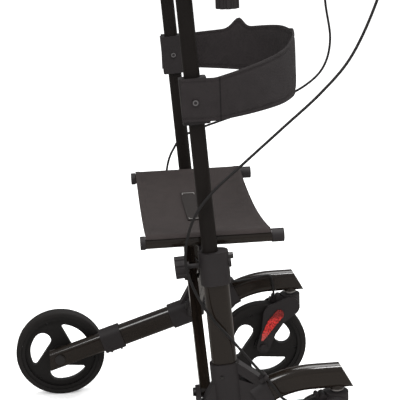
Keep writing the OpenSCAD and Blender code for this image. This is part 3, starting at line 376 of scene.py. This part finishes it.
bandSeamX = 0.060
mouldingSettings = {
    "make": plainFinish, "colour": (0.0165, 0.0136, 0.0140), "roughness": 0.5, "specular": 0.3,
    "patchScale": 30, "patch": 0.15, "grainScale": 700, "grain": 0.00012,
}
finishSettings = {
    "frame_paint": {
        "make": plainFinish, "colour": (0.0100, 0.0070, 0.0050), "roughness": 0.14, "specular": 0.45,
        "metallic": 0.1, "coat": 0.3, "coatRoughness": 0.05, "wear": 0.06,
        "patchScale": 900, "patch": 0.25, "grainScale": 60, "grain": 0.00002,
    },
    "post_paint": {
        "make": plainFinish, "colour": (0.0070, 0.0052, 0.0044), "roughness": 0.38, "specular": 0.2,
        "patchScale": 40, "patch": 0.15, "grainScale": 900, "grain": 0.00003,
    },
    "moulding": mouldingSettings,
    "bracket": {
        **mouldingSettings, "make": boltedFinish,
        # the pale ring on the bolt head is a painted highlight
        "bolt": (0.0170, 0.7737), "rim": 0.0038, "rimHalf": 0.0009, "rimColour": (0.085, 0.080, 0.080),
    },
    "wheel_plastic": {
        "make": plainFinish, "colour": (0.0090, 0.0080, 0.0075), "roughness": 0.42, "specular": 0.25,
        "patchScale": 30, "patch": 0.15, "grainScale": 800, "grain": 0.00008,
    },
    "steel": {
        "make": stemFinish, "colour": (0.10, 0.097, 0.097), "roughness": 0.34, "metallic": 1,
        "patchScale": 120, "patch": 0.1, "grainScale": 600, "grain": 0.00003,
        "stemFrom": 0.24, "stemColour": (0.62, 0.60, 0.59),
    },
    "cable_jacket": {
        "make": plainFinish, "colour": (0.010, 0.009, 0.009), "roughness": 0.45, "specular": 0.3,
        "patchScale": 60, "patch": 0.1, "grainScale": 500, "grain": 0.00003,
    },
    "grip_rubber": {
        "make": plainFinish, "colour": (0.013, 0.012, 0.012), "roughness": 0.65, "specular": 0.3,
        "patchScale": 40, "patch": 0.15, "grainScale": 600, "grain": 0.00015,
    },
    "pad_cover": {
        "make": plainFinish, "colour": (0.014, 0.013, 0.013), "roughness": 0.6, "specular": 0.3,
        "patchScale": 25, "patch": 0.2, "grainScale": 420, "grain": 0.00006,
    },
    "tyre": {
        "make": plainFinish, "colour": (0.0100, 0.0084, 0.0076), "roughness": 0.7, "specular": 0.3,
        "patchScale": 50, "patch": 0.15, "grainScale": 500, "grain": 0.00012,
    },
    "reflector": {
        "make": prismFinish, "colour": (0.30, 0.012, 0.010), "roughness": 0.12, "coat": 0.5,
        # the cells' glints and shade, the fork's shade at the top and the glow are painted light
        "cellScale": 260, "cellGain": 2, "cellDrop": 0.35, "cellShades": (0.3, 1.7),
        "grain": 0.0012, "glow": 0.02,
        "shadeFrom": 0.163, "shadeRate": 70, "shadeMost": 0.75, "shade": 0.2,
        "tipTo": 0.141, "tipRate": 33, "tipMost": 0.6, "tipColour": (0.36, 0.075, 0.065),
    },
    "seat_cloth": {
        "make": wovenFinish, "colour": (0.0335, 0.0262, 0.0250), "roughness": 0.85, "specular": 0.2,
        "thread": 0.0024, "patchScale": 45, "patch": 0.3, "grain": 0.0003,
        "creaseScale": 12, "creases": 6,
    },
    "webbing": {
        "make": wovenFinish, "colour": (0.0185, 0.0146, 0.0132), "roughness": 0.75, "specular": 0.25,
        "thread": 0.0036, "patchScale": 60, "patch": 0.2, "grain": 0.0003,
        "creaseScale": 12, "creases": 0,
    },
    "strap_cloth": {
        "make": seamedFinish, "colour": (0.0228, 0.0188, 0.0193), "roughness": 0.82, "specular": 0.2,
        "thread": 0.0026, "patchScale": 45, "patch": 0.25, "grain": 0.0003,
        "creaseScale": 22, "creases": 14,
        "seamX": bandSeamX, "seamHalf": 0.0011, "seamShade": 0.35,
    },
}
threadSettings = {
    "colour": (0.26, 0.25, 0.24), "roughness": 0.7,
    "patchScale": 80, "patch": 0.2, "grainScale": 900, "grain": 0.0001,
}
nodeFinishes = {"rest_bracket": "bracket", "fork": "moulding"}  # pieces whose finish isn't their slot's

finishes = {}
for slotName, settings in finishSettings.items():
    finishes[slotName] = settings["make"](slotName, settings).material
threadFinish = plainFinish("stitch_thread", threadSettings).material
for entry in frame["record"]["subparts"]:
    kind = entry["node"].split("_", 1)[1]  # the name without its first word, such as its side
    for place in frame["nodes"][entry["node"]].material_slots:
        place.material = finishes[nodeFinishes.get(kind, entry["material_slot"])]
print("stage: finishes on the frame")


def dress(piece, slotName, material=None):
    piece.data.materials.clear()
    piece.data.materials.append(material or finishes[slotName])


# Brake cables along the same routes as their solids, in two lengths that meet in the clip on the hub
cableSettings = {
    "radius": 0.0025,
    "steps": 12,
    "right": {
        "route": [
            (0.2891, -0.264, 1.1617), (0.320, -0.264, 1.155), (0.346, -0.266, 1.128),
            (0.357, -0.270, 1.080), (0.352, -0.278, 1.010), (0.327, -0.284, 0.927), (0.284, -0.287, 0.839),
            (0.232, -0.288, 0.780), (0.164, -0.289, 0.722), (0.093, -0.289, 0.662), (0.041, -0.289, 0.617),
            (0.008, -0.290, 0.575), (-0.009, -0.291, 0.525), (-0.009, -0.290, 0.475),
            (0.018, -0.288, 0.406), (0.070, -0.288, 0.335), (0.1235, -0.287, 0.2645),
            (0.140, -0.288, 0.243), (0.156, -0.287, 0.219), (0.180, -0.284, 0.207), (0.203, -0.278, 0.211),
            (0.217, -0.2744, 0.214),
        ],
        "clip": 16,
        "postFrom": (0.035, -0.289, 0.61),
        "postTo": (0.327, -0.284, 0.927),
        "forkFrom": (0.150, -0.2875, 0.228),
        "forkTo": (0.217, -0.2744, 0.214),
    },
    "left": {
        "route": [
            (0.2891, 0.264, 1.1617), (0.314, 0.264, 1.156), (0.334, 0.265, 1.130), (0.343, 0.266, 1.070),
            (0.342, 0.266, 0.970), (0.346, 0.266, 0.870), (0.356, 0.266, 0.790), (0.343, 0.266, 0.733),
            (0.308, 0.267, 0.695), (0.245, 0.272, 0.662), (0.150, 0.282, 0.630), (0.043, 0.290, 0.593),
            (0.009, 0.290, 0.558), (-0.006, 0.291, 0.515), (-0.008, 0.290, 0.460), (0.004, 0.280, 0.412),
            (0.014, 0.258, 0.376), (0.030, 0.242, 0.340), (0.066, 0.240, 0.300), (0.1235, 0.241, 0.2645),
            (0.155, 0.244, 0.263), (0.180, 0.244, 0.266), (0.205, 0.244, 0.270), (0.214, 0.244, 0.262),
            (0.217, 0.244, 0.240), (0.218, 0.246, 0.226), (0.217, 0.2536, 0.214),
        ],
        "clip": 19,
        "postFrom": (0.04, 0.289, 0.59),
        "postTo": (0.346, 0.266, 0.90),
        "forkFrom": (0.190, 0.244, 0.268),
        "forkTo": (0.217, 0.250, 0.222),
    },
}


def makeCable(side):
    s = cableSettings[side]
    steps, radius = cableSettings["steps"], cableSettings["radius"]
    path = smoothCurve([Vector(point) for point in s["route"]], steps)
    cutAt = s["clip"] * steps
    upper = tubePiece(side + "CableUpper", path[:cutAt + 1], radius)
    lower = tubePiece(side + "CableLower", path[cutAt:], radius)
    for piece in (upper, lower):
        dress(piece, "cable_jacket")
        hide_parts(side + "_brake_cable")
    side + "_frame"
    side + "_post"
    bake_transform(upper)
    side + "_frame"
    side + "_fork"
    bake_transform(lower)


for side in ("right", "left"):
    makeCable(side)
print("stage: cables")


# Seat cloth: sags between the rails, wraps over them, with hems along its front and rear edges
seatSettings = {
    "columns": 60,
    "rows": 96,
    "smoothAngle": 50,
    "rear": -0.077,
    "front": 0.147,
    "railY": 0.230,
    "railZ": 0.514,
    "railR": 0.0114,
    "thick": 0.003,
    "sag": 0.020,
    "wrapShare": 0.08,
    "wrapTurn": 50,
    "hemShare": 0.90,
    "hem": 0.0008,
    "wrinkle": 0.0014,
    "wrinkleScale": (14, 5),
    "wrinkleDepth": 3,  # which layer of the noise the wrinkles come from
    "wrinkleFade": 5,
    "flat": (0.224, 0.485),
}


def seatLine(v, lift):
    s = seatSettings
    flat = 1 - s["wrapShare"]
    radius = s["railR"] + lift
    if abs(v) <= flat:
        share = v / flat
        return share * s["railY"], s["railZ"] + radius - s["sag"] * (1 - share ** 2)
    turn = math.radians((abs(v) - flat) / s["wrapShare"] * s["wrapTurn"])
    return math.copysign(s["railY"] + radius * math.sin(turn), v), s["railZ"] + radius * math.cos(turn)


def seatWrinkle(x, y):
    s = seatSettings
    scaleX, scaleY = s["wrinkleScale"]
    return noise.noise(Vector((x * scaleX, y * scaleY, s["wrinkleDepth"]))) * s["wrinkle"]


def seatPoint(u, v, side):
    s = seatSettings
    x = s["rear"] + (u + 1) / 2 * (s["front"] - s["rear"])
    lift = s["thick"] if side > 0 else 0
    if abs(u) > s["hemShare"]:
        lift += s["hem"] * side
    inner = max(0, 1 - abs(v) / (1 - s["wrapShare"]))
    y, z = seatLine(v, lift)
    return Vector((x, y, z + seatWrinkle(x, y) * min(1, inner * s["wrinkleFade"])))


def makeSeat():
    piece = slabPiece("seatCloth", seatSettings, seatPoint)
    dress(piece, "seat_cloth")
    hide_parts("seat_sheet")
    return piece


seat = makeSeat()
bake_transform(seat)

# Pull strap sewn on the seat, with a pale line of stitching round each end
pullSettings = {
    "columns": 8,
    "rows": 60,
    "smoothAngle": 50,
    "middle": 0.024,
    "wide": 0.030,
    "from": -0.103,
    "to": 0.094,
    "thick": 0.002,
    "lift": 0.0003,
    "flat": (0.030, 0.197),
    "stitchIn": 0.006,
    "stitchWide": 0.024,
    "stitchLong": 0.010,
    "stitchRadius": 0.0006,
}


def seatTop(y):
    share = y / seatSettings["railY"] * (1 - seatSettings["wrapShare"])
    return seatLine(share, seatSettings["thick"])[1]


def pullTop(x, y):
    return seatTop(y) + max(seatWrinkle(x, y), 0) + pullSettings["lift"]


def pullPoint(u, v, side):
    s = pullSettings
    y = s["from"] + (v + 1) / 2 * (s["to"] - s["from"])
    x = s["middle"] + u * s["wide"] / 2
    return Vector((x, y, pullTop(x, y) + (s["thick"] if side > 0 else 0)))


def stitchPath(end, inward):
    s = pullSettings
    path = []
    for across, long in ((-1, s["stitchLong"]), (-1, 0), (1, 0), (1, s["stitchLong"])):
        x = s["middle"] + across * s["stitchWide"] / 2
        y = end + inward * (s["stitchIn"] + long)
        path.append(Vector((x, y, pullTop(x, y) + s["thick"])))
    return path


def makePullStrap():
    s = pullSettings
    strap = slabPiece("seatPullStrap", s, pullPoint)
    dress(strap, "webbing")
    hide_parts("seat_pull_strap")
    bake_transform(strap)
    for name, end, inward in (("nearStitch", s["from"], 1), ("farStitch", s["to"], -1)):
        thread = tubePiece(name, stitchPath(end, inward), s["stitchRadius"])
        dress(thread, "webbing", threadFinish)
        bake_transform(thread)


makePullStrap()
print("stage: seat")


# Backrest strap: a padded band from the outer face of one bracket round the front to the other
strapSettings = {
    "columns": 150,
    "rows": 44,
    "smoothAngle": 60,
    "rearX": -0.0060,
    "endX": 0.0530,
    "frontX": 0.223,
    "sideY": 0.2839,
    "bowLong": 0.72,
    "bowPower": 3,
    "z": 0.7770,
    "rise": 0.020,
    "endHigh": 0.074,
    "midHigh": 0.107,
    "pinchY": 0.213,  # the peak in the far half of the top edge
    "pinchHigh": 0.020,
    "pinchWide": 0.013,
    "fold": 0.003,
    "cornerY": -0.075,  # the raised corner at the front
    "cornerHigh": 0.011,
    "cornerWide": 0.055,
    "thick": 0.008,
    "crownPower": 4,
    "hemThick": 0.0050,
    "hemShare": 0.84,
    "hemFall": 0.5,
    "seamThick": 0.0030,
    "seamShare": 0.035,
    "endSeamThick": 0.004,
    "endSeamHalf": 0.004,
    "ripple": 0.0016,
    "rippleScale": (16, 16, 1.3),
    "looseFrom": 0.07,
    "looseOver": 0.17,
    "looseRate": 2,
}


def strapPlan(u):
    s = strapSettings
    endLong = s["endX"] - s["rearX"]
    whole = s["bowLong"] + 2 * endLong
    along = (u + 1) / 2 * whole
    if along < endLong:
        return Vector((s["rearX"] + along, -s["sideY"])), Vector((1, 0))
    if along > endLong + s["bowLong"]:
        return Vector((s["rearX"] + whole - along, s["sideY"])), Vector((-1, 0))
    v = 2 * (along - endLong) / s["bowLong"] - 1
    deep, power = s["frontX"] - s["endX"], s["bowPower"]
    slope = Vector((-power * deep * v * abs(v) ** (power - 2), s["sideY"])).normalized()
    return Vector((s["frontX"] - deep * abs(v) ** power, v * s["sideY"])), slope


def strapThickness(w, plan):
    s = strapSettings
    edge = abs(w)
    if abs(edge - s["hemShare"]) < s["seamShare"]:
        return s["seamThick"]
    if edge > s["hemShare"]:
        past = (edge - s["hemShare"]) / (1 - s["hemShare"])
        return s["hemThick"] * (1 - s["hemFall"] * past ** s["crownPower"])
    if abs(plan.x - bandSeamX) < s["endSeamHalf"]:
        return s["endSeamThick"]
    crown = 1 - (edge / s["hemShare"]) ** s["crownPower"]
    return s["hemThick"] + (s["thick"] - s["hemThick"]) * crown


def strapRipple(w, plan):
    s = strapSettings
    scaleX, scaleY, scaleW = s["rippleScale"]
    loose = max(0, plan.x - s["looseFrom"]) / s["looseOver"]
    wave = noise.noise(Vector((plan.x * scaleX, plan.y * scaleY, w * scaleW)))
    return wave * s["ripple"] * min(1, loose * s["looseRate"])


def strapPoint(u, w, side):
    s = strapSettings
    plan, slope = strapPlan(u)
    middle = 1 - (plan.y / s["sideY"]) ** 2
    high = s["endHigh"] + (s["midHigh"] - s["endHigh"]) * middle
    peak = bell(plan.y, s["pinchY"], s["pinchWide"])
    corner = bell(plan.y, s["cornerY"], s["cornerWide"])
    upper = max(0, w)
    raised = (s["pinchHigh"] * peak + s["cornerHigh"] * corner) * upper
    outward = Vector((slope.y, -slope.x))
    half = strapThickness(w, plan) / 2
    flat = plan + outward * (side * half + strapRipple(w, plan) + s["fold"] * peak * upper)
    return Vector((flat.x, flat.y, s["z"] + s["rise"] * middle + w * high / 2 + raised))


def makeBackrest():
    piece = slabPiece("backrestBand", strapSettings, strapPoint)
    dress(piece, "strap_cloth")
    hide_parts("backrest_strap")
    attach(piece, "right_post")
    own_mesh(piece)


makeBackrest()
print("stage: backrest")


# Forearm pads: a curved slab in the tray, swelled by a short cloth run, held where it rests on the tray
padSettings = {
    "columns": 56,
    "rows": 30,
    "smoothAngle": 60,
    "swelledAngle": 70,
    "rear": -0.1048,
    "front": 0.1152,
    "sideY": 0.264,
    "axisZ": 1.0682,
    "radius": 0.0613,
    "turn": 50,
    "base": 0.0005,
    "edge": 0.005,
    "crown": 0.014,
    "crownPower": 4,
    "draw": 0.08,
    "voxel": 0.005,
    "pressure": 4,
    "frames": 20,
    "held": 0.003,
    "heldFade": 0.003,
    "cap": 0.004,
}


def padPoint(u, v, side):
    s = padSettings
    crown = (1 - abs(u) ** s["crownPower"]) * (1 - abs(v) ** s["crownPower"])
    depth = s["edge"] + (s["crown"] - s["edge"]) * crown if side > 0 else s["base"]
    radius = s["radius"] - depth
    turn = math.radians(v * s["turn"] * (1 - s["draw"] * u ** 2 * v ** 2))
    half = (s["front"] - s["rear"]) / 2
    x = s["rear"] + half + u * half * (1 - s["draw"] * v ** 2 / 2)
    return Vector((x, -s["sideY"] + radius * math.sin(turn), s["axisZ"] - radius * math.cos(turn)))


def swellPad(piece):
    s = padSettings
    rest = [vertex.co.copy() for vertex in piece.data.vertices]
    pick(piece)
    cloth = piece.modifiers.new("Cloth", "CLOTH")
    cloth.settings.use_pressure = True
    cloth.settings.uniform_pressure_force = s["pressure"]
    cloth.settings.effector_weights.gravity = 0
    cloth.point_cache.frame_end = s["frames"]
    scene = bpy.context.scene
    for step in range(1, s["frames"] + 1):
        scene.frame_set(step)
    bpy.ops.object.modifier_apply(modifier=cloth.name)
    scene.frame_set(1)
    for vertex, start in zip(piece.data.vertices, rest):
        fromAxis = Vector((0, start.y + s["sideY"], start.z - s["axisZ"])).length
        free = max(0, min(1, (s["radius"] - s["held"] - fromAxis) / s["heldFade"]))
        moved = vertex.co - start
        if moved.length > s["cap"]:
            moved *= s["cap"] / moved.length
        vertex.co = start + moved * free


def makePad():
    piece = slabPiece("rightForearmPad", padSettings, padPoint)
    pick(piece)
    piece.data.remesh_voxel_size = padSettings["voxel"]
    bpy.ops.object.voxel_remesh()
    swellPad(piece)
    applyModifier(piece, "SUBSURF", levels=1, render_levels=1)
    return finishMesh(piece, padSettings["swelledAngle"])


def mirrored(piece, name):
    pick(piece)
    bpy.ops.object.duplicate()
    copy = bpy.context.object
    copy.name = name
    for vertex in copy.data.vertices:
        vertex.co.y = -vertex.co.y
    pick(copy)
    bpy.ops.object.mode_set(mode="EDIT")
    bpy.ops.mesh.select_all(action="SELECT")
    bpy.ops.mesh.flip_normals()
    bpy.ops.object.mode_set(mode="OBJECT")
    return copy


rightPad = makePad()
leftPad = mirrored(rightPad, "leftForearmPad")
for side, pad in (("right", rightPad), ("left", leftPad)):
    dress(pad, "pad_cover")
    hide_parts(side + "_armrest_pad")
    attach(pad, side + "_armrest")
print("stage: forearm pads")


# Pale floor and white room, both dimmer in reflections, and soft lights
stageSettings = {
    "floorSize": 60,
    "floor": {"colour": (0.92, 0.92, 0.92), "roughness": 0.9, "specular": 0},
    "reflectedFloor": (0.20, 0.19, 0.18),
    "floorGlow": 0.25,  # seen by the camera alone, so that shadows stay faint
    "room": (1, 1, 1),
    "roomStrength": 1.1,
    "reflectedStrength": 0.3,
    "aim": (0, 0, 0.6),
    "lights": {
        "keyLight": {"place": (-1.2, -2.4, 3.2), "size": 1.2, "power": 40},
        "topLight": {"place": (0.6, 0.4, 3.4), "size": 1.6, "power": 48},
        "farLight": {"place": (2.4, 1.6, 2.2), "size": 0.9, "power": 30},
        "armLight": {"place": (0.85, -1.1, 2.85), "size": 0.5, "power": 22},
    },
}


def makeFloor():
    s = stageSettings
    clearSelection()
    bpy.ops.mesh.primitive_plane_add(size=s["floorSize"])
    floor = bpy.context.object
    floor.name = "floor"
    finish = Finish("floor", s["floor"])
    rays = finish.node("ShaderNodeLightPath", {}, {})
    finish.colours(rays.output("Is Glossy Ray"), s["floor"]["colour"], s["reflectedFloor"])
    finish.set("Emission Color", rays.output("Is Camera Ray"))
    finish.set("Emission Strength", s["floorGlow"])
    floor.data.materials.append(finish.material)


def makeRoom():
    s = stageSettings
    world = bpy.data.worlds.new("room")
    world.use_nodes = True
    room = Nodes(world.node_tree)
    background = room.tree.nodes["Background"]
    reflected = room.node("ShaderNodeLightPath", {}, {}).output("Is Glossy Ray")
    room.feed(background.inputs["Color"], opaque(s["room"]))
    room.feed(background.inputs["Strength"],
              reflected * (s["reflectedStrength"] - s["roomStrength"]) + s["roomStrength"])
    bpy.context.scene.world = world


def makeLights():
    for name, light in stageSettings["lights"].items():
        clearSelection()
        bpy.ops.object.light_add(type="AREA", location=light["place"])
        lamp = bpy.context.object
        lamp.name = name
        lamp.data.size = light["size"]
        lamp.data.energy = light["power"]
        aim = Vector(stageSettings["aim"]) - lamp.location
        lamp.rotation_euler = aim.to_track_quat("-Z", "Y").to_euler()


makeFloor()
makeRoom()
makeLights()
bpy.context.scene.view_settings.view_transform = "Standard"
print("stage: floor and lights")
